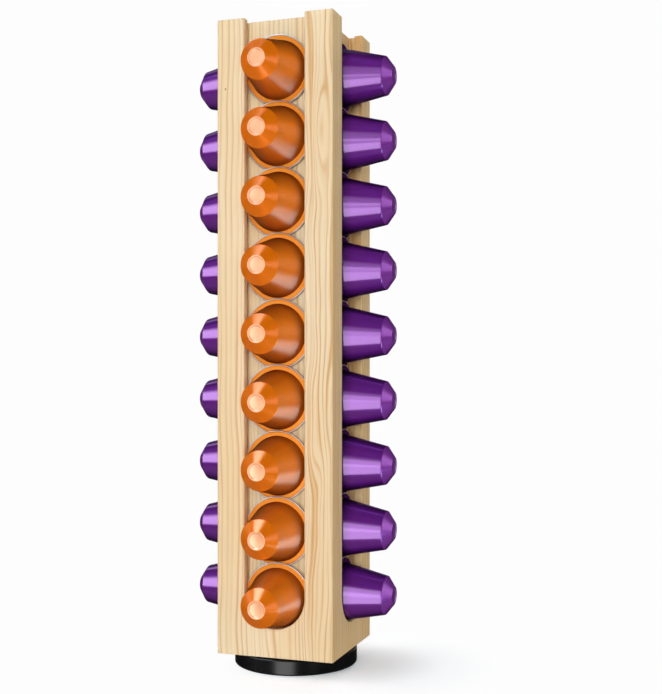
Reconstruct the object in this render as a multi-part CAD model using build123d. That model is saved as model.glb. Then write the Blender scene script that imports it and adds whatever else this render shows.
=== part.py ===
"""Revolving coffee pod carousel: a square pine tower with a pod channel in each face, on a round swivel base.

Millimetres. +Z is up and the origin is on the floor, on the axis that the tower turns about.
The front face looks along -Y and the right face along +X. Pod 1 is the lowest of each column.
"""

from build123d import *
from math import atan2, cos, degrees, hypot, sin
import os

# Coffee pod: a thin cup with a curled rim, closed at the back by a foil lid
pod_height = 29.4
flange_radius = 18.5
flange_width = 2.9
rim_bead_radius = 0.4
shoulder_radius = 10.3
shoulder_height = 25.1
nose_radius = 4.75
nose_rim_width = 0.6
nose_dish_depth = 0.75
cup_wall = 0.35
foil_thickness = 0.2
foil_rim_gap = 0.05
root_fillet = 0.4
shoulder_fillet = 0.7
nose_fillet = 0.3

# Stacking of a column: each pod leans nose down, with its lower rim tucked behind the pod below
pods_per_column = 9
rim_tuck_gap = 0.12
stack_gap = 0.47
seat_gap = 0.1

# Pod channel: a T-slot routed in each stave, round at the foot and open at the top
lip_thickness = 4.2
front_rim_gap = 0.4
back_rim_gap = 1.97
flange_side_play = 1.3
body_side_play = 1.15
channel_back_wall = 5.6
corner_wall = 3.95
foot_wood = 11.75
top_margin = 8.75
corner_ease = 0.5
mouth_ease = 0.4

# Blocks glued into the hollow core
top_plug_thickness = 12.0
bottom_block_depth = 20.0
bottom_block_proud = 1.4

# Swivel base
ring_stand = 0.5
ring_thickness = 1.2
ring_inner_radius = 22.5
ring_width = 6.0
ring_side_gap = 0.1
shell_floor = 2.0
shell_wall = 2.8
shell_bottom_round = 1.2
shell_rim_round = 0.6
shell_overhang = 1.0
tower_gap = 0.8

# Ball bearing between the base and the tower
ball_count = 16
ball_radius = 1.75
ball_gap = 0.05
ball_circle_radius = 22.5
ball_pocket_gap = 0.12
race_width = 8.0
race_thickness = 1.2
race_groove_depth = 0.55
cage_width = 5.6
cage_thickness = 0.9
rotor_thickness = 1.8
rotor_rim_gap = 1.0

# Centre bolt, its washer and its insert
bolt_thread_radius = 2.5
bolt_shoulder_radius = 3.0
bolt_head_radius = 5.5
bolt_head_thickness = 1.6
bolt_hex_flats = 3.0
bolt_hex_depth = 1.0
bolt_running_gap = 0.08
bolt_clearance = 0.1
washer_thickness = 0.5
washer_radius = 6.0
washer_gap = 0.05
hub_web = 1.8
hub_wall = 2.0
hub_recess_play = 1.0
hub_rise = 2.9
insert_wall = 1.1
insert_length = 12.0
insert_tip_gap = 2.0

# Screws that hold the rotor plate to the bottom block
screw_count = 4
screw_circle_radius = 13.0
screw_radius = 1.5
screw_length = 12.0
screw_head_radius = 3.0
screw_head_height = 1.3
screw_slot_width = 0.8
screw_slot_depth = 0.6
screw_hole_gap = 0.1
screw_tip_length = 2.5

# Pitch and lean of a column, from the rims that overlap and the cone that rests on the rim below
root_radius = flange_radius - flange_width
flange_face = foil_thickness + cup_wall
bead_thickness = 2 * rim_bead_radius
cone_slope = (root_radius - shoulder_radius) / (shoulder_height - flange_face)
rim_step = bead_thickness + rim_tuck_gap
contact_height = rim_bead_radius + rim_step - flange_face
contact_reach = flange_radius + root_radius - cone_slope * contact_height + stack_gap
pod_pitch = hypot(rim_step, contact_reach)
pod_lean = atan2(rim_step, contact_reach)
rim_swing = flange_radius * sin(pod_lean)

# Channel and tower section
groove_half = flange_radius + flange_side_play
mouth_half = root_radius + body_side_play
pod_depth = lip_thickness + front_rim_gap + bead_thickness + rim_swing
channel_depth = pod_depth + rim_swing + back_rim_gap
tower_half = groove_half + corner_wall + channel_depth
stave_thickness = channel_depth + channel_back_wall
core_half = tower_half - stave_thickness

# Heights of the base, from the floor up
shell_bottom = ring_stand
shell_floor_top = shell_bottom + shell_floor
race_top = shell_floor_top + race_thickness
groove_radius = ball_radius + ball_gap
ball_height = race_top - race_groove_depth + groove_radius
rotor_bottom = 2 * ball_height - race_top
rotor_top = rotor_bottom + rotor_thickness
tower_bottom = rotor_top + bottom_block_proud
shell_top = tower_bottom - tower_gap
hub_web_bottom = shell_bottom + hub_rise
hub_web_top = hub_web_bottom + hub_web
washer_bottom = hub_web_bottom - washer_thickness
bolt_head_top = washer_bottom - washer_gap

# Radii of the base
shell_radius = tower_half + shell_overhang
shell_bore_radius = shell_radius - shell_wall
hub_recess_radius = washer_radius + hub_recess_play
rotor_radius = shell_bore_radius - rotor_rim_gap
insert_radius = bolt_thread_radius + insert_wall

# Heights along the tower
channel_end = tower_bottom + foot_wood + groove_half
first_pod = tower_bottom + foot_wood + seat_gap + flange_radius
last_pod = first_pod + (pods_per_column - 1) * pod_pitch
tower_top = last_pod + flange_radius + top_margin
tower_height = tower_top - tower_bottom

columns = {"front": 0, "right": 90, "back": 180, "left": 270}


def ring(outer, inner, low, high):
    """A flat ring about the axis between two heights."""
    body = Pos(0, 0, low) * extrude(Circle(outer), high - low)
    return body - Pos(0, 0, low) * extrude(Circle(inner), high - low)


def disc(radius, low, high):
    """A plain round disc or rod about the axis between two heights."""
    return Pos(0, 0, low) * extrude(Circle(radius), high - low)


def around(shape, count, radius, start=0):
    """Copies of a shape set evenly on a circle about the axis."""
    places = []
    for index in range(count):
        turn = start + 360 / count * index
        places.append(Rot(0, 0, turn) * Pos(radius, 0, 0) * shape)
    return places


def inset(points, distance):
    """The inner corners of a line of straight runs, moved to its left by a distance."""
    runs = []
    for (r0, h0), (r1, h1) in zip(points[:-1], points[1:]):
        length = hypot(r1 - r0, h1 - h0)
        shift_r = -(h1 - h0) / length * distance
        shift_h = (r1 - r0) / length * distance
        runs.append(((r0 + shift_r, h0 + shift_h), (r1 - r0, h1 - h0)))
    moved = []
    for ((ar, ah), (adr, adh)), ((br, bh), (bdr, bdh)) in zip(runs[:-1], runs[1:]):
        along = ((br - ar) * bdh - (bh - ah) * bdr) / (adr * bdh - adh * bdr)
        moved.append((ar + adr * along, ah + adh * along))
    return moved


def make_stave():
    """The front stave: mitred along both sides, with a T-slot that is round at its foot."""
    half = tower_half
    section = make_face(
        Polyline(
            (-half + corner_ease, -half),
            (half - corner_ease, -half),
            (half - corner_ease / 2, -half + corner_ease / 2),
            (core_half, -core_half),
            (-core_half, -core_half),
            (-half + corner_ease / 2, -half + corner_ease / 2),
            close=True,
        )
    )
    board = Pos(0, 0, tower_bottom) * extrude(section, tower_height)
    mouth = channel_cut(mouth_half, 0, lip_thickness)
    groove = channel_cut(groove_half, lip_thickness, channel_depth)
    stave = board - mouth - groove
    mouth_edges = stave.edges().filter_by(lambda edge: is_mouth_edge(edge))
    return chamfer(mouth_edges, mouth_ease)


def channel_cut(half_width, near, far):
    """The space of a channel between two depths behind the front face."""
    run = tower_top - channel_end
    straight = Pos(0, run / 2) * Rectangle(2 * half_width, run)
    outline = straight + Circle(half_width)
    plane = Plane(origin=(0, -tower_half + near, channel_end), x_dir=(1, 0, 0), z_dir=(0, -1, 0))
    return extrude(plane * outline, -(far - near))


def is_mouth_edge(edge):
    """Whether an edge of the stave runs round the channel's mouth in the outer face."""
    middle = edge @ 0.5
    on_face = abs(middle.Y + tower_half) < 0.01
    inside = abs(middle.X) < mouth_half + 0.01
    between = tower_bottom + 0.01 < middle.Z < tower_top - 0.01
    return on_face and inside and between


def make_pod():
    """A pod on its own axis: the foil's outer face at height zero and the nose pointing up."""
    bead_circle = flange_radius - rim_bead_radius
    dish_radius = nose_radius - nose_rim_width
    dish_floor = pod_height - nose_dish_depth
    outer = [
        (bead_circle, flange_face),
        (root_radius, flange_face),
        (shoulder_radius, shoulder_height),
        (nose_radius, pod_height),
        (dish_radius, pod_height),
    ]
    inner = inset(outer[1:], cup_wall)
    inner_shoulder_radius, inner_shoulder_height = inner[0]
    inner_root = inner_shoulder_radius + cone_slope * (inner_shoulder_height - foil_thickness)
    inner_side = [*inner, (dish_radius, pod_height - cup_wall)]
    outline = Polyline(*outer) + TangentArc((0, dish_floor), outer[-1], tangent=(1, 0))
    outline += Line((0, dish_floor), (0, dish_floor - cup_wall))
    outline += TangentArc((0, dish_floor - cup_wall), inner_side[-1], tangent=(1, 0))
    outline += Polyline(
        *reversed(inner_side),
        (inner_root, foil_thickness),
        (bead_circle, foil_thickness),
        outer[0],
    )
    section = make_face(outline)
    for corner, radius in ((1, root_fillet), (2, shoulder_fillet), (3, nose_fillet)):
        vertex = section.vertices().sort_by_distance(Vector(*outer[corner]))[0]
        section = fillet(vertex, radius)
    section += Pos(bead_circle, rim_bead_radius) * Circle(rim_bead_radius)
    cup = revolve(Plane.XZ * section, Axis.Z)
    foil = disc(bead_circle - rim_bead_radius - foil_rim_gap, 0, foil_thickness)
    return cup, foil


def place_pod(shape, turn, number):
    """A pod's piece moved to its place in a column, leaning nose down."""
    height = first_pod + (number - 1) * pod_pitch
    seat = Plane(
        origin=(0, -tower_half + pod_depth, height),
        x_dir=(1, 0, 0),
        z_dir=(0, -cos(pod_lean), -sin(pod_lean)),
    )
    return Rot(0, 0, turn) * seat.location * shape


def make_top_plug():
    """The block that closes the hollow core, flush with the top."""
    outline = Rectangle(2 * core_half, 2 * core_half)
    return Pos(0, 0, tower_top - top_plug_thickness) * extrude(outline, top_plug_thickness)


def make_bottom_block():
    """The block at the foot of the core, which stands a little proud below the tower."""
    height = bottom_block_proud + bottom_block_depth
    block = Pos(0, 0, rotor_top) * extrude(Rectangle(2 * core_half, 2 * core_half), height)
    block -= disc(insert_radius, rotor_top, rotor_top + insert_length + insert_tip_gap)
    for pilot in around(screw_shank(), screw_count, screw_circle_radius, 45):
        block -= pilot
    return block


def screw_shank():
    """A wood screw's shank above the rotor plate's lower face, with a pointed tip."""
    tip_start = rotor_bottom + screw_length - screw_tip_length
    rod = disc(screw_radius, rotor_bottom, tip_start)
    tip = Pos(0, 0, tip_start + screw_tip_length / 2) * Cone(screw_radius, 0.2, screw_tip_length)
    return rod + tip


def make_screw():
    """A countersunk wood screw, head down and flush with the rotor plate."""
    head_middle = rotor_bottom + screw_head_height / 2
    head = Pos(0, 0, head_middle) * Cone(screw_head_radius, screw_radius, screw_head_height)
    slot = Box(2 * screw_head_radius, screw_slot_width, screw_slot_depth)
    return head + screw_shank() - Pos(0, 0, rotor_bottom + screw_slot_depth / 2) * slot


def make_rotor_plate():
    """The steel plate under the tower, with the upper ball groove in its lower face."""
    plate = disc(rotor_radius, rotor_bottom, rotor_top)
    plate -= ball_groove()
    plate -= disc(bolt_thread_radius + bolt_clearance, rotor_bottom, rotor_top)
    head_middle = rotor_bottom + screw_head_height / 2
    countersink = Pos(0, 0, head_middle) * Cone(screw_head_radius, screw_radius, screw_head_height)
    hole = disc(screw_radius + screw_hole_gap, rotor_bottom, rotor_top) + countersink
    for cut in around(hole, screw_count, screw_circle_radius, 45):
        plate -= cut
    return plate


def ball_groove():
    """The round-bottomed ring that the balls run in, shared by both races."""
    return Pos(0, 0, ball_height) * Torus(ball_circle_radius, groove_radius)


def make_lower_race():
    """The steel ring on the base's floor, with the lower ball groove in its upper face."""
    inner = ball_circle_radius - race_width / 2
    outer = ball_circle_radius + race_width / 2
    return ring(outer, inner, shell_floor_top, race_top) - ball_groove()


def make_ball_cage():
    """The thin ring that spaces the balls."""
    low = ball_height - cage_thickness / 2
    inner = ball_circle_radius - cage_width / 2
    outer = ball_circle_radius + cage_width / 2
    cage = ring(outer, inner, low, low + cage_thickness)
    pocket = disc(ball_radius + ball_pocket_gap, low, low + cage_thickness)
    for cut in around(pocket, ball_count, ball_circle_radius):
        cage -= cut
    return cage


def make_balls():
    """The balls, midway between the two races."""
    return around(Pos(0, 0, ball_height) * Sphere(ball_radius), ball_count, ball_circle_radius)


def make_base_shell():
    """The turned black cup that hides the bearing, with a hub for the bolt and a groove for the foot."""
    shell = disc(shell_radius, shell_bottom, shell_top)
    shell = fillet(shell.edges().sort_by(Axis.Z)[0], shell_bottom_round)
    shell = fillet(shell.edges().sort_by(Axis.Z)[-1], shell_rim_round)
    hub_radius = hub_recess_radius + hub_wall
    shell -= ring(shell_bore_radius, hub_radius, shell_floor_top, shell_top)
    shell -= disc(hub_radius, hub_web_top, shell_top)
    shell -= disc(hub_recess_radius, shell_bottom, hub_web_bottom)
    shell -= disc(bolt_shoulder_radius + bolt_running_gap, hub_web_bottom, hub_web_top)
    groove_inner = ring_inner_radius - ring_side_gap
    groove_outer = ring_inner_radius + ring_width + ring_side_gap
    return shell - ring(groove_outer, groove_inner, shell_bottom, ring_thickness)


def make_foot_ring():
    """The rubber ring that the carousel stands on."""
    return ring(ring_inner_radius + ring_width, ring_inner_radius, 0, ring_thickness)


def make_washer():
    """The plain washer between the bolt's head and the hub."""
    return ring(washer_radius, bolt_shoulder_radius + bolt_running_gap, washer_bottom, hub_web_bottom)


def make_bolt():
    """The shoulder bolt that holds the base to the tower and that the base turns on."""
    head = disc(bolt_head_radius, bolt_head_top - bolt_head_thickness, bolt_head_top)
    shoulder = disc(bolt_shoulder_radius, bolt_head_top, rotor_bottom)
    thread = disc(bolt_thread_radius, rotor_bottom, rotor_top + insert_length)
    socket = RegularPolygon(bolt_hex_flats / 2, 6, major_radius=False)
    drive = Pos(0, 0, bolt_head_top - bolt_head_thickness) * extrude(socket, bolt_hex_depth)
    return head + shoulder + thread - drive


def make_insert():
    """The brass insert pressed into the bottom block."""
    return ring(insert_radius, bolt_thread_radius, rotor_top, rotor_top + insert_length)


def save(name, pieces):
    """Write one node, which may be a group of separate solids."""
    solids = []
    for piece in pieces:
        solids.extend(piece.solids())
    shape = solids[0] if len(solids) == 1 else Compound(children=solids)
    export_step(shape, f"parts/{name}.step")


def main():
    os.makedirs("parts", exist_ok=True)
    stave = make_stave()
    cup, foil = make_pod()
    for face, turn in columns.items():
        save(f"{face}_stave", [Rot(0, 0, turn) * stave])
        for number in range(1, pods_per_column + 1):
            pieces = [place_pod(cup, turn, number), place_pod(foil, turn, number)]
            save(f"pod_{face}_{number}", pieces)
    save("top_plug", [make_top_plug()])
    save("bottom_block", [make_bottom_block()])
    save("base_shell", [make_base_shell()])
    save("foot_ring", [make_foot_ring()])
    save("lower_race", [make_lower_race()])
    save("ball_cage", [make_ball_cage()])
    save("bearing_balls", make_balls())
    save("rotor_plate", [make_rotor_plate()])
    save("rotor_screws", around(make_screw(), screw_count, screw_circle_radius, 45))
    save("centre_bolt", [make_bolt()])
    save("threaded_insert", [make_insert()])
    save("thrust_washer", [make_washer()])
    print("tower", round(2 * tower_half, 3), "by", round(tower_height, 3), "top at", round(tower_top, 3))
    print("pitch", round(pod_pitch, 3), "lean", round(degrees(pod_lean), 3))


main()
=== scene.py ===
"""Looks of the coffee pod carousel: pine tower, lacquered pods and gloss black base in a pale studio.

The pods are turned meshes that replace their CAD nodes. All other nodes keep their meshes and get materials.
The pods and the patterns on all pieces are measured in millimetres, and the other lengths in metres, except
where a comment says otherwise.
"""

from collections import namedtuple
import math

import bmesh
import bpy
from mathutils import Matrix, Vector


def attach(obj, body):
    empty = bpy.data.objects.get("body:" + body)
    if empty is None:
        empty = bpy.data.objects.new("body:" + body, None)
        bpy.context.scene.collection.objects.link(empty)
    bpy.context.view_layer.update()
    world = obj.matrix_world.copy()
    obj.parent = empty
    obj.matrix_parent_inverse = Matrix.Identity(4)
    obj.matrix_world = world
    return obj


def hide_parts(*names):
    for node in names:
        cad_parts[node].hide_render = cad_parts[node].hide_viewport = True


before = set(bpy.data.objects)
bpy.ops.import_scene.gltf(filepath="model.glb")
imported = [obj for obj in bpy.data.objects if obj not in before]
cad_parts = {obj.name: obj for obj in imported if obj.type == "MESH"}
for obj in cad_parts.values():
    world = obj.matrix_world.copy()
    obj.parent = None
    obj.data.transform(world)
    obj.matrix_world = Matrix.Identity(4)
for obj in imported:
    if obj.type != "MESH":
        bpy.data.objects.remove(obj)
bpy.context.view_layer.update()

MM = 0.001
WHITE = (1, 1, 1)


def srgb(red, green, blue):
    """A colour on the usual 0 to 255 scale, as linear light."""
    light = []
    for value in (red, green, blue):
        value = value / 255
        light.append(value / 12.92 if value <= 0.04045 else ((value + 0.055) / 1.055) ** 2.4)
    return tuple(light)


# The photograph's frame in pixels, and the camera that was fitted to the tower's edges in it: its optics in
# pixels, its place in metres, its turn in degrees and its sensor's width in millimetres
PHOTO_WIDTH = 662
PHOTO_HEIGHT = 694
OPTICAL_CENTRE = (344.0, 368.2)
FOCAL_PIXELS = 1116.1
CAMERA_PLACE = (0.21882, -0.56777, 0.15942)
CAMERA_TURN = 18.625
SENSOR = 36.0
CLIP_START = 0.01

# Where the pods sit: the turn of each column in degrees, and the places of its pods in millimetres
COLUMNS = {"front": 0, "right": 90, "back": 180, "left": 270}
TOWER_HALF = 32.11
POD_DEPTH = 5.8945
POD_LEAN = math.radians(1.5318)
FIRST_POD = 39.75
POD_PITCH = 34.4161
PODS = 9

# The profile of a pod, as radii and heights above the underside of its foil, in millimetres
FLANGE_RADIUS = 18.5
FLANGE_FACE = 0.55
BEAD_RADIUS = 0.4
ROOT_RADIUS = 15.6
SHOULDER = (10.3, 25.1)
NOSE = (4.75, 29.4)
NOSE_RIM_WIDTH = 0.6
ROOT_FILLET = 0.4
SHOULDER_FILLET = 0.7
NOSE_FILLET = 0.3
# The curl of the rim in degrees, and the groove behind it, inwards from the middle of its bead
CURL_START = -140
CURL_STEP = 11.5
CURL_POINTS = 24
CURL_GROOVE = ((0.40, 0.50), (0.47, 0.43), (0.56, 0.46), (0.66, FLANGE_FACE), (0.9, FLANGE_FACE))
# The pan in the nose: the radius of its mouth, its depth, the radius at the foot of its wall and the wall's
# share of the depth, and the rounds at the mouth and the foot. Its floor sinks further as a parabola.
DISH_MOUTH = 4.25
DISH_DEPTH = 0.75
DISH_FOOT = 3.65
DISH_WALL_SHARE = 0.7
DISH_MOUTH_FILLET = 0.25
DISH_FOOT_FILLET = 0.5
# The foil lid: the ring and the crimp that are pressed into it
FOIL_PROFILE = (
    (0, 0.02), (0.6, 0.02), (4.0, 0.02), (4.25, 0.06), (4.5, 0.02), (12.0, 0.02), (15.0, 0.0),
    (15.3, 0.05), (15.6, 0.0), (17.3, 0.0), (17.6, 0.03), (17.65, 0.2),
)
# Where rings of vertices lie: outwards from the root on the flange, and as shares along the other runs
FLANGE_RINGS = (1.2, 0.7)
SIDE_SHARES = (0.03, 0.06, 0.12, 0.2, 0.3, 0.4, 0.5, 0.6, 0.7, 0.8, 0.88, 0.93, 0.96)
NOSE_SHARES = (0.18, 0.3, 0.42, 0.54, 0.66, 0.78, 0.88)
DISH_SHARES = (0.7, 0.5, 0.3, 0.12)
SEGMENTS = 112


class Graph:
    """A short way to write a node tree."""

    def __init__(self, tree):
        self.tree = tree
        self.links = tree.links

    def add(self, kind, inputs=None, **settings):
        node = self.tree.nodes.new(kind)
        for name, value in settings.items():
            setattr(node, name, value)
        for key, value in (inputs or {}).items():
            self.feed(node.inputs[key], value)
        return node

    def feed(self, socket, value):
        if isinstance(value, bpy.types.NodeSocket):
            self.links.new(value, socket)
        elif socket.type == "RGBA" and len(value) == 3:
            socket.default_value = (*value, 1)
        else:
            socket.default_value = value

    def math(self, operation, a, b=0.0, c=0.0, clamp=False):
        node = self.add("ShaderNodeMath", {0: a, 1: b, 2: c}, operation=operation, use_clamp=clamp)
        return node.outputs[0]

    def times(self, first, *others):
        for other in others:
            first = self.math("MULTIPLY", first, other)
        return first

    def vector(self, operation, a, b=(0, 0, 0)):
        node = self.add("ShaderNodeVectorMath", {0: a, 1: b}, operation=operation)
        return node.outputs[1 if operation in ("LENGTH", "DOT_PRODUCT", "DISTANCE") else 0]

    def scaled(self, vector, factors):
        """The vector times one factor for each axis, or times the same for all."""
        if not isinstance(factors, tuple):
            factors = (factors, factors, factors)
        return self.vector("MULTIPLY", vector, factors)

    def split(self, vector):
        node = self.add("ShaderNodeSeparateXYZ", {0: vector})
        return node.outputs[0], node.outputs[1], node.outputs[2]

    def join(self, x, y, z):
        return self.add("ShaderNodeCombineXYZ", {0: x, 1: y, 2: z}).outputs[0]

    def grey(self, level):
        return self.join(level, level, level)

    def noise(self, vector, detail=2.0, rough=0.5, output="Fac"):
        inputs = {"Vector": vector, "Scale": 1.0, "Detail": detail, "Roughness": rough}
        return self.add("ShaderNodeTexNoise", inputs).outputs[output]

    def step(self, value, low, high, to_low=0.0, to_high=1.0, smooth=True):
        """Runs from to_low to to_high while the value runs from low to high, and stays there outside."""
        inputs = {"Value": value, "From Min": low, "From Max": high, "To Min": to_low, "To Max": to_high}
        kind = "SMOOTHSTEP" if smooth else "LINEAR"
        return self.add("ShaderNodeMapRange", inputs, interpolation_type=kind).outputs["Result"]

    def spread(self, value, to_low, to_high):
        """Stretches the middle of a noise evenly over a range."""
        return self.step(value, 0.2, 0.8, to_low, to_high, smooth=False)

    def ramp(self, value, stops):
        node = self.add("ShaderNodeValToRGB", {"Fac": value})
        band = node.color_ramp
        while len(band.elements) < len(stops):
            band.elements.new(0.5)
        for element, (place, level) in zip(band.elements, stops):
            element.position = place
            element.color = (level, level, level, 1)
        return node.outputs["Color"]

    def mix(self, factor, a, b, blend="MIX"):
        inputs = {"Factor": factor, "A": a, "B": b}
        return self.add("ShaderNodeMix", inputs, data_type="RGBA", blend_type=blend).outputs["Result"]

    def bump(self, height, strength, distance, normal=None):
        inputs = {"Height": height, "Strength": strength, "Distance": distance}
        if normal is not None:
            inputs["Normal"] = normal
        return self.add("ShaderNodeBump", inputs).outputs["Normal"]


def start_tree(owner):
    """The emptied node tree of a world, or of a material that has no principled shader."""
    owner.use_nodes = True
    owner.node_tree.nodes.clear()
    return Graph(owner.node_tree)


def start_material(name):
    """A new material with its principled shader, and the graph to write it with."""
    material = bpy.data.materials.new(name)
    material.use_nodes = True
    return material, Graph(material.node_tree), material.node_tree.nodes["Principled BSDF"]


def set_shader(graph, shader, values):
    for name, value in values.items():
        graph.feed(shader.inputs[name], value)


def turned_mm(graph, axis, angle):
    """The piece's own coordinates in millimetres, turned about an axis."""
    place = graph.add("ShaderNodeTexCoord").outputs["Object"]
    if angle:
        turn = graph.add("ShaderNodeVectorRotate", {"Vector": place, "Angle": angle}, rotation_type=axis)
        place = turn.outputs["Vector"]
    return graph.scaled(place, 1 / MM)


def piece_mm(graph, turn=0.0):
    """A piece's coordinates, those of a board turned so that its outer face looks along -Y."""
    return turned_mm(graph, "Z_AXIS", -math.radians(turn))


def pod_mm(graph):
    """A pod's coordinates, with Z along its own axis."""
    return turned_mm(graph, "X_AXIS", -(math.pi / 2 + POD_LEAN))


def from_axis(graph, x, y):
    """The distance from the Z axis."""
    return graph.vector("LENGTH", graph.join(x, y, 0.0))


def turning_lines(graph, place, scale, detail):
    """A noise in fine rings about the piece's axis."""
    x, y, z = graph.split(place)
    across = graph.times(from_axis(graph, x, y), scale)
    return graph.noise(graph.join(across, 0.0, graph.times(z, scale)), detail)


# Pine. A board's numbers are in millimetres, with its outer face along -Y and the trunk along Z.

EARLY_WOOD = srgb(240, 224, 190)
HONEY_WOOD = srgb(238, 215, 173)
LATE_WOOD = srgb(214, 166, 108)
KNOT = srgb(120, 78, 42)
# Painted shade: a darker, warmer tint on the faces of the side boards, standing in for the shade and warm
# bounce light on the tower's sides
PAINTED_SIDE_SHADE = (0.98, 0.87, 0.68)

# Places across one year's ring and how much late wood each has
RING_PROFILE = ((0.0, 0.55), (0.10, 0.08), (0.42, 0.03), (0.70, 0.30), (0.90, 1.0), (1.0, 0.55))
RING_UNEVENNESS = 4.2
# How far the pith wanders across and inwards, and how far the rings sway and how strong their late wood is
# outside the flame and in it
PITH_WANDER = (7.0, 9.0)
RING_SWAY = (5.0, 15.0)
LATE_STRENGTH = (0.85, 1.25)
# Scales of the noises: the pith's along the trunk, the widths' across the rings, the rest across and along
PITH_SCALE = 0.013
WIDTH_SCALE = 0.11
YEAR_SCALES = (0.42, 0.006)
GRAIN_SCALES = (0.05, 0.012)
TONE_SCALES = (0.045, 0.007)
FIBRE_SCALES = (2.4, 0.045)
DUCT_SCALES = (1.1, 0.06)
DUCT_STRENGTH = 0.35
KNOT_SQUASH = 0.6
# In metres
ROUNDED_EDGE = 0.0004

# A flame that starts outside the board
NO_FLAME = (90.0, 99.0)
# For each node: the turn of its face in degrees, the pith's x and y, where along the trunk the board starts,
# the rings' spacing and taper, and the x where the flame starts and is full; knots as x, z and size; eyes,
# which the rings flow round, as x, z, width, length and depth
PINE_BOARDS = {
    "front_stave": dict(
        name="pine_front", turn=0, pith=(-118.0, -8.0), start=40.0, spacing=2.6, taper=0.006,
        flame=(12.0, 19.0), knots=((-27.4, 306.0, 0.5),),
        eyes=((25.0, 279.0, 6.5, 42.0, 6.5), (20.5, 118.0, 6.0, 60.0, 3.4), (-4.0, 24.0, 8.0, 34.0, 3.0)),
    ),
    "right_stave": dict(
        name="pine_right", turn=90, pith=(-75.0, -50.0), start=310.0, spacing=2.2, taper=0.01,
        flame=(14.0, 20.0), knots=((21.0, 150.0, 0.5),), painted_shade_tint=PAINTED_SIDE_SHADE,
    ),
    "back_stave": dict(
        name="pine_back", turn=180, pith=(-22.0, -20.0), start=610.0, spacing=2.6, taper=0.03,
        flame=(-14.0, -20.0), knots=((8.0, 15.0, 0.5),),
    ),
    "left_stave": dict(
        name="pine_left", turn=270, pith=(80.0, -60.0), start=930.0, spacing=2.3, taper=0.012,
        flame=(14.0, 20.0), knots=((-24.0, 220.0, 0.5),), painted_shade_tint=PAINTED_SIDE_SHADE,
    ),
    "top_plug": dict(
        name="pine_plug", turn=45, pith=(60.0, -30.0), start=1250.0, spacing=2.9, taper=0.01, flame=NO_FLAME,
    ),
    "bottom_block": dict(
        name="pine_block", turn=0, pith=(-70.0, 55.0), start=1500.0, spacing=3.0, taper=0.01, flame=NO_FLAME,
    ),
}


def make_pine(name, turn, pith, start, spacing, taper, flame, knots=(), eyes=(), painted_shade_tint=WHITE):
    """Sawn pine in three dimensions: growth rings about a pith that wanders along the board."""
    material, graph, shader = start_material(name)
    x, y, z = graph.split(piece_mm(graph, turn))
    along = graph.math("ADD", z, start)

    def stretched(scales):
        across, lengthwise = scales
        return graph.join(graph.times(x, across), graph.times(y, across), graph.times(along, lengthwise))

    def moved(off, noise, reach):
        return graph.math("MULTIPLY_ADD", graph.math("SUBTRACT", noise, 0.5), reach, off)

    wander_place = graph.join(0.37, start * 0.01, graph.times(along, PITH_SCALE))
    wander = graph.split(graph.noise(wander_place, 1.0, output="Color"))
    grain = graph.split(graph.noise(stretched(GRAIN_SCALES), output="Color"))
    sway = graph.step(x, *flame, *RING_SWAY)
    from_pith = []
    for axis, middle, reach, slow, quick in zip((x, y), pith, PITH_WANDER, wander, grain):
        off = moved(graph.math("SUBTRACT", axis, middle), slow, reach)
        from_pith.append(moved(off, quick, sway))
    radius = graph.math("MULTIPLY_ADD", along, taper, from_axis(graph, *from_pith))
    for eye_x, eye_z, width, length, depth in eyes:
        from_eye = graph.vector("SUBTRACT", graph.join(x, 0.0, z), (eye_x, 0.0, eye_z))
        away = graph.vector("LENGTH", graph.scaled(from_eye, (1 / width, 0, 1 / length)))
        radius = graph.math("ADD", radius, graph.step(away, 1.0, 0.0, 0.0, depth))

    widths = graph.noise(graph.join(graph.times(radius, WIDTH_SCALE), 0.0, 3.1))
    rings = graph.math("MULTIPLY_ADD", widths, RING_UNEVENNESS, graph.math("DIVIDE", radius, spacing))
    late = graph.ramp(graph.math("FRACT", rings), RING_PROFILE)
    across, lengthwise = YEAR_SCALES
    years = graph.noise(graph.join(graph.times(radius, across), 7.0, graph.times(along, lengthwise)))
    late = graph.math("MULTIPLY", late, graph.step(years, 0.3, 0.68, 0.12, 1.0), clamp=True)
    late = graph.math("MULTIPLY", late, graph.step(x, *flame, *LATE_STRENGTH), clamp=True)

    fibre = graph.noise(stretched(FIBRE_SCALES), 3.0, 0.62)
    tone = graph.noise(stretched(TONE_SCALES), 1.0)
    colour = graph.mix(graph.step(tone, 0.35, 0.7), EARLY_WOOD, HONEY_WOOD)
    colour = graph.mix(late, colour, LATE_WOOD)
    shade = graph.step(fibre, 0.25, 0.75, 0.94, 1.04, smooth=False)
    # The tint darkens the side boards' faces as painted shade; the front and back boards keep WHITE.
    colour = graph.mix(1.0, colour, graph.scaled(graph.grey(shade), painted_shade_tint), "MULTIPLY")
    ducts = graph.step(graph.noise(stretched(DUCT_SCALES), 4.0, 0.7), 0.69, 0.78)
    colour = graph.mix(graph.times(ducts, DUCT_STRENGTH), colour, LATE_WOOD)
    for knot_x, knot_z, size in knots:
        place = graph.join(x, 0.0, graph.times(z, KNOT_SQUASH))
        away = graph.vector("DISTANCE", place, (knot_x, 0.0, knot_z * KNOT_SQUASH))
        colour = graph.mix(graph.step(away, size, size * 0.4, 0.0, 0.8), colour, KNOT)

    height = graph.math("MULTIPLY_ADD", late, 0.35, graph.times(fibre, 0.65))
    edge = graph.add("ShaderNodeBevel", {"Radius": ROUNDED_EDGE}, samples=4).outputs["Normal"]
    set_shader(graph, shader, {
        "Base Color": colour,
        "Roughness": graph.spread(fibre, 0.42, 0.58),
        "Normal": graph.bump(height, strength=0.22, distance=0.00012, normal=edge),
        "Specular IOR Level": 0.06,
    })
    return material


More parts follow.
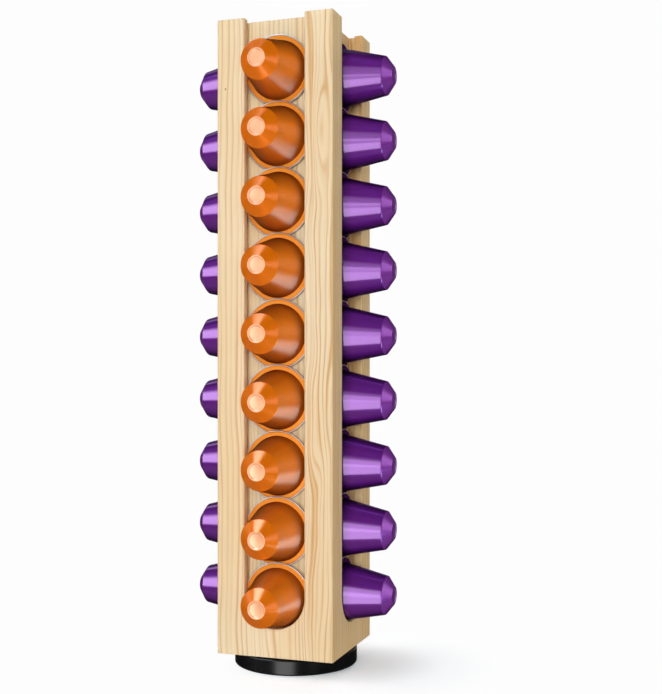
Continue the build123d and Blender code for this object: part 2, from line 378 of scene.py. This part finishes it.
# Pods. metallic and rough are the lacquered metal's, and metal_edge tints it seen edge-on. Towards the edge
# the lacquer's colour is darkened by painted shade (painted_edge_shade) and its clear coat thins
# (thin_edge):
# from where, to where and how much is left. coat_lean tips the coat's normal towards the nose.

ORANGE_METAL = dict(metallic=0.3, rough=0.28, metal_edge=(0.7, 0.35, 0.12), thin_edge=(0.5, 0.9, 0.2))
PURPLE_METAL = dict(metal_edge=(0.4, 0.16, 0.5), thin_edge=(0.3, 0.6, 0.12))
# The root colours are the bodies' colours darkened as painted shade towards the root of each pod.
LACQUERS = {
    "orange": {
        "side": dict(
            ORANGE_METAL, root=srgb(172, 90, 8), body=srgb(232, 125, 8), flange=srgb(234, 141, 40),
            painted_edge_shade=(0.5, 0.92, 0.15), coat_ior=1.6, coat_rough=0.28, coat_lean=0.6,
        ),
        "nose": dict(
            ORANGE_METAL, nose=srgb(238, 118, 2), disc=srgb(252, 184, 140), painted_edge_shade=(0.5, 1.0, 1.0),
        ),
    },
    "purple": {
        "side": dict(
            PURPLE_METAL, metallic=0.48, rough=0.20,
            root=srgb(54, 14, 78), body=srgb(118, 40, 152), flange=srgb(140, 62, 168),
            painted_edge_shade=(0.32, 0.62, 0.3), coat_ior=1.7, coat_rough=0.12, coat_lean=0,
        ),
        "nose": dict(
            PURPLE_METAL, metallic=0.5, rough=0.22, nose=srgb(146, 64, 178), disc=srgb(165, 98, 190),
            painted_edge_shade=(0.5, 0.8, 0.5),
        ),
    },
}
NOSE_COAT_ROUGHNESS = 0.2
NOSE_COAT_IOR = 1.5
# Heights over which the root's darker colour, a painted shade, gives way to the body's, and the coat reaches
# its full weight
ROOT_SHADE_REACH = (1.0, 11.0)
COAT_REACH = (0.9, 6.0)
ROOT_COAT = 0.3
# Where the flange's colour starts and is full, above its face, and the disc's paler colour, a painted
# highlight, outside the nose's edge
FLANGE_BLEND = (0.35, 0.05)
DISC_BLEND = (0.1, -0.2)
# How closely the drawing lines lie round a pod and along it, and how much light and roughness vary with them
DRAWN_ROUND = 26
DRAWN_ALONG = 0.12
DRAWN_SHADE = (0.95, 1.04)
DRAWN_ROUGHNESS = 0.07
# Scales of the unevenness of the lacquer, of the lines on the rim and of the foil's embossing
PEEL = 0.9
RIM_LINES = 9.0
EMBOSSING = 3.6


def start_lacquer(name, low, high, metallic, rough, metal_edge, painted_edge_shade, thin_edge):
    """Coloured lacquer on drawn aluminium, its colour running from low in the root, darker there as painted
    shade, to high.
    """
    material, graph, shader = start_material(name)
    place = pod_mm(graph)
    x, y, z = graph.split(place)
    around = graph.scaled(graph.vector("NORMALIZE", graph.join(x, y, 0.0)), (DRAWN_ROUND, DRAWN_ROUND, 0))
    drawn = graph.noise(graph.vector("ADD", around, graph.scaled(place, (0, 0, DRAWN_ALONG))), rough=0.55)
    peel = graph.noise(graph.scaled(place, PEEL))
    # Painted shade: the colour darkens from high to low towards the root.
    colour = low if low == high else graph.mix(graph.step(z, *ROOT_SHADE_REACH), low, high)
    facing = graph.add("ShaderNodeLayerWeight", {"Blend": 0.5}).outputs["Facing"]

    def towards_edge(start, end, left):
        return graph.step(facing, start, end, 1.0, left, smooth=False)

    # The drawing lines vary the colour a little, and a painted shade darkens it towards the edge.
    shade = graph.times(graph.step(drawn, 0.3, 0.7, *DRAWN_SHADE, smooth=False), towards_edge(*painted_edge_shade))
    coat = towards_edge(*thin_edge)
    height = graph.math("MULTIPLY_ADD", peel, 0.7, graph.times(drawn, 0.3))
    set_shader(graph, shader, {
        "Metallic": metallic,
        "Roughness": graph.spread(drawn, rough, rough + DRAWN_ROUGHNESS),
        "Normal": graph.bump(height, strength=0.08, distance=0.0001),
        "Specular IOR Level": 0.0,
        "Specular Tint": metal_edge,
    })
    return material, graph, shader, colour, graph.grey(shade), coat


def make_side_lacquer(name, root, body, flange, coat_ior, coat_rough, coat_lean, **metal):
    """The lacquer of the sides and flange: darker in the root by painted shade, where its clear coat is
    thin.
    """
    material, graph, shader, colour, shade, coat = start_lacquer(name, root, body, **metal)
    z = graph.split(pod_mm(graph))[2]
    on_flange = graph.step(z, *(FLANGE_FACE + above for above in FLANGE_BLEND))
    colour = graph.mix(on_flange, colour, flange)
    set_shader(graph, shader, {
        "Base Color": graph.mix(1.0, colour, shade, "MULTIPLY"),
        "Coat Weight": graph.times(coat, graph.step(z, *COAT_REACH, ROOT_COAT, 1.0)),
        "Coat Roughness": coat_rough,
        "Coat IOR": coat_ior,
    })
    if coat_lean:
        lean = graph.add("ShaderNodeVectorTransform", {0: (0, -coat_lean, 0)}, vector_type="VECTOR",
                         convert_from="OBJECT", convert_to="WORLD").outputs[0]
        normal = graph.add("ShaderNodeNewGeometry").outputs["Normal"]
        normal = graph.vector("NORMALIZE", graph.vector("ADD", normal, lean))
        graph.feed(shader.inputs["Coat Normal"], normal)
    return material


def make_nose_lacquer(name, nose, disc, **metal):
    """The lacquer of the nose, painted paler on its disc as a highlight."""
    material, graph, shader, colour, shade, coat = start_lacquer(name, nose, nose, **metal)
    x, y, _ = graph.split(pod_mm(graph))
    on_disc = graph.step(from_axis(graph, x, y), *(NOSE[0] + beyond for beyond in DISC_BLEND))
    # Painted highlight: the disc is painted paler than the nose.
    colour = graph.mix(on_disc, colour, disc)
    set_shader(graph, shader, {
        "Base Color": graph.mix(1.0, colour, shade, "MULTIPLY"),
        "Coat Weight": coat,
        "Coat Roughness": NOSE_COAT_ROUGHNESS,
        "Coat IOR": NOSE_COAT_IOR,
    })
    return material


def make_bare_rim():
    """Bare rolled aluminium, with fine lines round the curl."""
    material, graph, shader = start_material("rolled_aluminium")
    place = pod_mm(graph)
    lines = turning_lines(graph, place, RIM_LINES, detail=2.0)
    patches = graph.noise(graph.scaled(place, 0.35))
    set_shader(graph, shader, {
        "Base Color": graph.mix(patches, srgb(188, 186, 184), srgb(222, 220, 218)),
        "Metallic": 1.0,
        "Roughness": graph.spread(lines, 0.30, 0.45),
        "Normal": graph.bump(lines, strength=0.15, distance=0.00005),
    })
    return material


def make_foil():
    """Embossed aluminium foil lid."""
    material, graph, shader = start_material("embossed_foil")
    place = pod_mm(graph)
    x, y, _ = graph.split(place)
    diagonals = (graph.math("ADD", x, y), graph.math("SUBTRACT", x, y))
    waves = [graph.math("SINE", graph.times(diagonal, EMBOSSING)) for diagonal in diagonals]
    creases = graph.noise(graph.scaled(place, 0.5), 4.0, 0.65)
    height = graph.math("MULTIPLY_ADD", creases, 1.4, graph.times(*waves, 0.5))
    set_shader(graph, shader, {
        "Base Color": graph.mix(creases, srgb(196, 197, 200), srgb(228, 228, 230)),
        "Metallic": 1.0,
        "Roughness": graph.spread(creases, 0.26, 0.44),
        "Normal": graph.bump(height, strength=0.5, distance=0.00015),
    })
    return material


def between(start, end, share):
    """A point of a straight run of a profile."""
    return tuple(a + (b - a) * share for a, b in zip(start, end))


def corner_arc(before, corner, after, radius, steps=6):
    """The points of a round between two straight runs of a profile."""
    corner = Vector(corner)
    one = (Vector(before) - corner).normalized()
    two = (Vector(after) - corner).normalized()
    half = one.angle(two) / 2
    reach = radius / math.tan(half)
    centre = corner + (one + two).normalized() * (radius / math.sin(half))
    start = corner + one * reach - centre
    end = corner + two * reach - centre
    turn = start.angle(end)
    points = []
    for index in range(steps + 1):
        share = index / steps
        spot = (start * math.sin((1 - share) * turn) + end * math.sin(share * turn)) / math.sin(turn)
        points.append(tuple(centre + spot))
    return points


def pod_profile():
    """Side, nose, curl and foil of a pod as (radius, height) points, in the order of its materials."""
    bead = FLANGE_RADIUS - BEAD_RADIUS
    curl = []
    for step in range(CURL_POINTS):
        angle = math.radians(CURL_START + CURL_STEP * step)
        curl.append((bead + BEAD_RADIUS * math.cos(angle), BEAD_RADIUS + BEAD_RADIUS * math.sin(angle)))

    root = (ROOT_RADIUS, FLANGE_FACE)
    side = [curl[-1]]
    side += [(bead - inwards, height) for inwards, height in CURL_GROOVE]
    side += [(ROOT_RADIUS + outwards, FLANGE_FACE) for outwards in FLANGE_RINGS]
    side += corner_arc((FLANGE_RADIUS, FLANGE_FACE), root, SHOULDER, ROOT_FILLET)
    side += [between(root, SHOULDER, share) for share in SIDE_SHARES]
    shoulder = corner_arc(root, SHOULDER, NOSE, SHOULDER_FILLET, steps=8)
    middle = len(shoulder) // 2
    side += shoulder[:middle + 1]

    nose_height = NOSE[1]
    mouth = (DISH_MOUTH, nose_height)
    foot = (DISH_FOOT, nose_height - DISH_DEPTH * DISH_WALL_SHARE)
    bottom = (0, nose_height - DISH_DEPTH)
    nose = shoulder[middle:]
    nose += [between(SHOULDER, NOSE, share) for share in NOSE_SHARES]
    nose += corner_arc(SHOULDER, NOSE, (NOSE[0] - NOSE_RIM_WIDTH, nose_height), NOSE_FILLET)
    nose += corner_arc(NOSE, mouth, foot, DISH_MOUTH_FILLET)
    nose += corner_arc(mouth, foot, bottom, DISH_FOOT_FILLET)
    for share in DISH_SHARES:
        rise = (foot[1] - bottom[1]) * share ** 2
        nose.append((foot[0] * share, bottom[1] + rise))
    nose.append(bottom)
    return side, nose, curl, FOIL_PROFILE


def make_pod_mesh(name, materials):
    """A leaning pod turned from its profile, with a material for each run of it."""
    shell = bmesh.new()

    def turn_ring(radius, height):
        if not radius:
            return [shell.verts.new((0, 0, height * MM))]
        ring = []
        for index in range(SEGMENTS):
            angle = 2 * math.pi * index / SEGMENTS
            spot = (radius * math.cos(angle) * MM, radius * math.sin(angle) * MM, height * MM)
            ring.append(shell.verts.new(spot))
        return ring

    for slot, points in enumerate(pod_profile()):
        last = None
        for radius, height in points:
            ring = turn_ring(radius, height)
            for index in range(SEGMENTS if last else 0):
                after = index + 1
                corners = [last[index % len(last)], last[after % len(last)],
                           ring[after % len(ring)], ring[index % len(ring)]]
                face = shell.faces.new(list(dict.fromkeys(corners)))
                face.material_index = slot
                face.smooth = True
            last = ring
    bmesh.ops.remove_doubles(shell, verts=shell.verts, dist=1e-7)
    shell.transform(Matrix.Rotation(math.pi / 2 + POD_LEAN, 4, "X"))
    mesh = bpy.data.meshes.new(name)
    shell.to_mesh(mesh)
    shell.free()
    for material in materials:
        mesh.materials.append(material)
    return mesh


def place_pods():
    """Puts a pod in each seat, orange in front and at the back, purple at the sides."""
    shared = (make_bare_rim(), make_foil())
    meshes = {}
    for colour, look in LACQUERS.items():
        side = make_side_lacquer(f"{colour}_side", **look["side"])
        nose = make_nose_lacquer(f"{colour}_nose", **look["nose"])
        meshes[colour] = make_pod_mesh(f"pod_{colour}", (side, nose, *shared))
    for face, turn in COLUMNS.items():
        mesh = meshes["orange" if turn % 180 == 0 else "purple"]
        for number in range(1, PODS + 1):
            seat = Vector((0, (POD_DEPTH - TOWER_HALF) * MM, (FIRST_POD + (number - 1) * POD_PITCH) * MM))
            pod = bpy.data.objects.new(f"capsule_{face}_{number}", mesh)
            pod.matrix_world = Matrix.Rotation(math.radians(turn), 4, "Z") @ Matrix.Translation(seat)
            bpy.context.scene.collection.objects.link(pod)
            node = f"pod_{face}_{number}"
            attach(pod, node)
            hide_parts(node)


# Base and bearing

TURNING_LINES = 7.0


def make_gloss_black():
    """Moulded black plastic with a little dust and fine scratches round it."""
    material, graph, shader = start_material("gloss_black")
    place = piece_mm(graph)
    dust = graph.noise(graph.scaled(place, 1.6), 4.0, 0.7)
    scratches = graph.noise(graph.scaled(place, (0.25, 0.25, 9.0)), 3.0, 0.6)
    set_shader(graph, shader, {
        "Base Color": graph.mix(graph.step(dust, 0.62, 0.8), srgb(6, 6, 7), srgb(16, 16, 17)),
        "Roughness": graph.math("MULTIPLY_ADD", graph.step(scratches, 0.5, 0.8), 0.08, 0.23),
        "Normal": graph.bump(scratches, strength=0.05, distance=0.00004),
        "Specular IOR Level": 0.42,
    })
    return material


def make_grained(name, scale, dark, pale, roughness, strength, subsurface=0.0):
    """A dull rubber or plastic with an even grain."""
    material, graph, shader = start_material(name)
    grain = graph.noise(graph.scaled(piece_mm(graph), scale), 3.0, 0.6)
    set_shader(graph, shader, {
        "Base Color": graph.mix(grain, dark, pale),
        "Roughness": graph.spread(grain, *roughness),
        "Normal": graph.bump(grain, strength, distance=0.0001),
    })
    if subsurface:
        set_shader(graph, shader, {"Subsurface Weight": subsurface, "Subsurface Scale": 0.001})
    return material


def make_metal(name, dark, bright, roughness, turned=True, strength=0.2):
    """Bare metal with turning lines about the axis, or an even fine grain."""
    material, graph, shader = start_material(name)
    place = piece_mm(graph)
    if turned:
        grain = turning_lines(graph, place, TURNING_LINES, detail=3.0)
    else:
        grain = graph.noise(graph.scaled(place, 5.0), 3.0, 0.6)
    stains = graph.noise(graph.scaled(place, 0.15), 3.0)
    shade = graph.math("MULTIPLY_ADD", grain, 0.5, graph.times(stains, 0.5))
    set_shader(graph, shader, {
        "Base Color": graph.mix(shade, dark, bright),
        "Metallic": 1.0,
        "Roughness": graph.spread(grain, *roughness),
        "Normal": graph.bump(grain, strength, distance=0.00005),
    })
    return material


def dress_nodes():
    """Gives every CAD node that stays its own material."""
    steel = make_metal("ground_steel", srgb(150, 150, 152), srgb(190, 190, 192), (0.24, 0.42))
    zinc = make_metal("zinc_plate", srgb(160, 163, 168), srgb(200, 202, 206), (0.25, 0.4), turned=False)
    polished = make_metal("polished_steel", srgb(196, 196, 198), srgb(222, 222, 224), (0.05, 0.11),
                          turned=False, strength=0.03)
    brass = make_metal("turned_brass", srgb(176, 136, 66), srgb(214, 178, 104), (0.25, 0.4))
    rubber = make_grained("foot_rubber", 3.0, srgb(24, 24, 24), srgb(44, 43, 42), (0.68, 0.9), strength=0.4)
    nylon = make_grained("natural_nylon", 1.2, srgb(214, 210, 198), srgb(236, 233, 224), (0.42, 0.6),
                         strength=0.2, subsurface=0.15)
    materials = {
        "base_shell": make_gloss_black(),
        "foot_ring": rubber,
        "lower_race": steel,
        "rotor_plate": steel,
        "bearing_balls": polished,
        "ball_cage": nylon,
        "thrust_washer": nylon,
        "rotor_screws": zinc,
        "centre_bolt": zinc,
        "threaded_insert": brass,
    }
    for node, board in PINE_BOARDS.items():
        materials[node] = make_pine(**board)
    for node, material in materials.items():
        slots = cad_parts[node].data.materials
        slots.clear()
        slots.append(material)


# Studio

# Strengths of the white that the camera sees and of the light from all round
BACKDROP = 0.985
AMBIENT = 0.21

# The floor has a glow of its own that grows from the first distance of the shadow's core to its second, away
# from the shadow's centre beside the base. There its dip paints a soft shadow on top of the lamps' own, and
# it keeps the shadow as pale as photographed. Over SHADOW_REACH it gives way to the backdrop's white.
FLOOR_SIZE = 30
FLOOR_COLOUR = srgb(244, 244, 245)
GLOW_COLOUR = (0.93, 1.0, 1.04)
PAINTED_SHADOW_CENTRE = (0.034, 0.006, 0.0)
PAINTED_SHADOW_CORE = (0.006, 0.05)
SHADOW_GLOW = (0.21, 0.48)
SHADOW_REACH = (0.03, 0.08)

# What gloss sees, with elevations in degrees: the walls' strength low and high and where it changes; the dim
# band at the horizon, by its middle, where it starts and stops to brighten on both sides and what is left of
# the walls in it; and the floor's faint shine, with where that starts and is full, far off and near
WALLS = (0.09, 0.02)
WALLS_FADE = (15.0, 50.0)
HORIZON = -14.0
HORIZON_WIDTH = (3.0, 9.0)
HORIZON_LEFT = 0.25
FLOOR_SHINE = 0.05
SHINE_FAR = (-16.0, -30.0)
SHINE_NEAR = (-88.0, -50.0)
# The white backdrop behind the object, in degrees: where it starts and is full at its sides, foot and top
BACKDROP_SIDE = (32.0, 20.0)
BACKDROP_FOOT = (-8.0, -3.0)
BACKDROP_TOP = (34.0, 24.0)
# Far soft boxes, in degrees: azimuth right of -Y, half width, lowest and highest elevation, and softness,
# which is never more than FOOT_SOFTNESS at the foot
FOOT_SOFTNESS = 4.0
Box = namedtuple("Box", "azimuth half low high softness strength")
BOXES = (
    Box(-24.0, 32.0, -6.0, 26.0, 14.0, 0.8),
    Box(-60.0, 10.0, -4.0, 20.0, 16.0, 2.9),
    Box(-138.0, 18.0, 38.0, 60.0, 14.0, 3.0),
    Box(51.0, 5.0, -8.0, 8.0, 8.0, 1.3),
    Box(104.0, 14.0, -2.0, 20.0, 10.0, 1.4),
)
# Light panel on a ceiling at a height of one: its middle across, where it starts and is full at its sides,
# front and back, its light, and how steeply a ray must rise to see it
CEILING_MIDDLE = -0.5
CEILING_SIDE = (0.5, 0.27)
CEILING_FRONT = (-1.0, -0.8)
CEILING_BACK = (-0.08, -0.55)
CEILING_LIGHT = (5.4, 8.0, 10.2)
CEILING_RISE = (0.3, 0.5)
LEAST_RISE = 0.05

# Lamps: studio light that gloss doesn't reflect, and near soft boxes that only gloss reflects, namely a tall
# one in front, dimmer in its upper part, and one that lies on the floor
Lamp = namedtuple("Lamp", "name place target size power gloss colour")
MIDDLE = (0, 0, 0.17)
BLUISH = (0.7, 0.96, 1.0)
LAMPS = (
    Lamp("key", (0.45, -2.0, 0.33), MIDDLE, (0.9, 0.9), 26, False, WHITE),
    Lamp("left", (-1.6, -0.3, 0.8), MIDDLE, (0.6, 0.6), 9, False, WHITE),
    Lamp("right", (1.7, -0.5, 0.5), MIDDLE, (0.8, 0.8), 4.2, False, WHITE),
    Lamp("back", (0.3, 1.8, 0.9), MIDDLE, (0.9, 0.9), 14, False, WHITE),
    Lamp("front_box", (0, -0.5025, -0.15), (0, 0, -0.21), (0.30, 0.544), 1.63, True, WHITE),
    Lamp("front_box_top", (0, -0.455, 0.21), (0, 0, 0.2), (0.30, 0.18), 0.27, True, WHITE),
    Lamp("floor_box", (0.2525, -0.075, 0.002), (0.2525, -0.0749, 1), (0.335, 0.08), 0.43, True, BLUISH),
)


def make_camera():
    data = bpy.data.cameras.new("camera")
    data.sensor_width = SENSOR
    data.lens = FOCAL_PIXELS * SENSOR / PHOTO_HEIGHT
    data.shift_x = (PHOTO_WIDTH / 2 - OPTICAL_CENTRE[0]) / PHOTO_HEIGHT
    data.shift_y = (OPTICAL_CENTRE[1] - PHOTO_HEIGHT / 2) / PHOTO_HEIGHT
    data.clip_start = CLIP_START
    camera = bpy.data.objects.new("camera", data)
    camera.location = CAMERA_PLACE
    camera.rotation_euler = (math.radians(90), 0, math.radians(CAMERA_TURN))
    bpy.context.scene.collection.objects.link(camera)
    bpy.context.scene.camera = camera


def make_floor():
    """A pale floor with a soft shadow beside the base, partly the lamps' and partly painted, that runs out
    into the backdrop's white.
    """
    material = bpy.data.materials.new("pale_floor")
    graph = start_tree(material)
    place = graph.add("ShaderNodeNewGeometry").outputs["Position"]
    away = graph.vector("DISTANCE", graph.scaled(place, (1, 1, 0)), PAINTED_SHADOW_CENTRE)
    lit = graph.add("ShaderNodeBsdfDiffuse", {"Color": FLOOR_COLOUR}).outputs[0]
    # Painted shadow: the glow is weakest beside the base, so the floor is darker there.
    glow = graph.step(away, *PAINTED_SHADOW_CORE, *SHADOW_GLOW)
    lift = graph.add("ShaderNodeEmission", {"Color": GLOW_COLOUR, "Strength": glow}).outputs[0]
    near = graph.add("ShaderNodeAddShader", {0: lit, 1: lift}).outputs[0]
    white = graph.add("ShaderNodeEmission", {"Color": WHITE, "Strength": BACKDROP}).outputs[0]
    far = graph.step(away, *SHADOW_REACH)
    seen = graph.add("ShaderNodeMixShader", {0: far, 1: near, 2: white}).outputs[0]
    rays = graph.add("ShaderNodeLightPath")
    out = graph.add("ShaderNodeMixShader", {0: rays.outputs["Is Camera Ray"], 1: lit, 2: seen}).outputs[0]
    graph.links.new(out, graph.add("ShaderNodeOutputMaterial").inputs["Surface"])
    bpy.ops.mesh.primitive_plane_add(size=FLOOR_SIZE)
    floor = bpy.context.object
    floor.name = "floor"
    floor.visible_glossy = False
    floor.visible_shadow = False
    floor.data.materials.append(material)


def make_world():
    """White behind the object, also for gloss, which sees dim walls and soft boxes in other directions."""
    world = bpy.data.worlds.new("world")
    bpy.context.scene.world = world
    graph = start_tree(world)
    x, y, up = graph.split(graph.add("ShaderNodeTexCoord").outputs["Generated"])
    azimuth = graph.math("DEGREES", graph.math("ARCTAN2", x, graph.times(y, -1.0)))
    height = graph.math("DEGREES", graph.math("ARCSINE", up))

    level = graph.step(height, *WALLS_FADE, *WALLS)
    off_horizon = graph.math("ABSOLUTE", graph.math("SUBTRACT", height, HORIZON))
    level = graph.times(level, graph.step(off_horizon, *HORIZON_WIDTH, HORIZON_LEFT, 1.0))
    below = graph.times(graph.step(height, *SHINE_FAR), graph.step(height, *SHINE_NEAR))
    level = graph.math("MULTIPLY_ADD", below, FLOOR_SHINE, level)
    for box in BOXES:
        off = graph.math("WRAP", graph.math("SUBTRACT", azimuth, box.azimuth), 180.0, -180.0)
        part = graph.times(
            graph.step(graph.math("ABSOLUTE", off), box.half + box.softness, box.half),
            graph.step(height, box.low - min(box.softness, FOOT_SOFTNESS), box.low),
            graph.step(height, box.high + box.softness, box.high),
        )
        level = graph.math("MULTIPLY_ADD", part, box.strength, level)

    turn = graph.math("WRAP", graph.math("SUBTRACT", azimuth, CAMERA_TURN), 360.0, 0.0)
    off = graph.math("ABSOLUTE", graph.math("SUBTRACT", turn, 180.0))
    behind = graph.times(
        graph.step(off, *BACKDROP_SIDE),
        graph.step(height, *BACKDROP_FOOT),
        graph.step(height, *BACKDROP_TOP),
    )
    levels = {"Factor": behind, "A": level, "B": BACKDROP}
    level = graph.add("ShaderNodeMix", levels, data_type="FLOAT").outputs["Result"]

    rise = graph.math("MAXIMUM", up, LEAST_RISE)
    across = graph.math("SUBTRACT", graph.math("DIVIDE", x, rise), CEILING_MIDDLE)
    along = graph.math("DIVIDE", y, rise)
    panel = graph.times(
        graph.step(graph.math("ABSOLUTE", across), *CEILING_SIDE),
        graph.step(along, *CEILING_BACK, smooth=False),
        graph.step(along, *CEILING_FRONT),
        graph.step(up, *CEILING_RISE),
    )
    glow = graph.vector("ADD", graph.grey(level), graph.scaled(graph.grey(panel), CEILING_LIGHT))

    seen = graph.add("ShaderNodeBackground", {"Color": WHITE, "Strength": BACKDROP}).outputs[0]
    lit = graph.add("ShaderNodeBackground", {"Color": WHITE, "Strength": AMBIENT}).outputs[0]
    shine = graph.add("ShaderNodeBackground", {"Color": glow, "Strength": 1.0}).outputs[0]
    rays = graph.add("ShaderNodeLightPath").outputs
    other = graph.add("ShaderNodeMixShader", {0: rays["Is Glossy Ray"], 1: lit, 2: shine}).outputs[0]
    through = graph.math("MAXIMUM", rays["Is Camera Ray"], rays["Is Transmission Ray"])
    out = graph.add("ShaderNodeMixShader", {0: through, 1: other, 2: seen}).outputs[0]
    graph.links.new(out, graph.add("ShaderNodeOutputWorld").inputs["Surface"])


def make_lamps():
    for look in LAMPS:
        data = bpy.data.lights.new(look.name, "AREA")
        data.shape = "RECTANGLE"
        data.size, data.size_y = look.size
        data.energy = look.power
        data.color = look.colour
        lamp = bpy.data.objects.new(look.name, data)
        lamp.location = look.place
        towards = Vector(look.target) - Vector(look.place)
        lamp.rotation_euler = towards.to_track_quat("-Z", "Y").to_euler()
        lamp.visible_glossy = look.gloss
        lamp.visible_diffuse = not look.gloss
        lamp.visible_camera = False
        bpy.context.scene.collection.objects.link(lamp)


make_camera()
dress_nodes()
place_pods()
make_floor()
make_world()
make_lamps()

bpy.context.scene.view_settings.view_transform = "Standard"
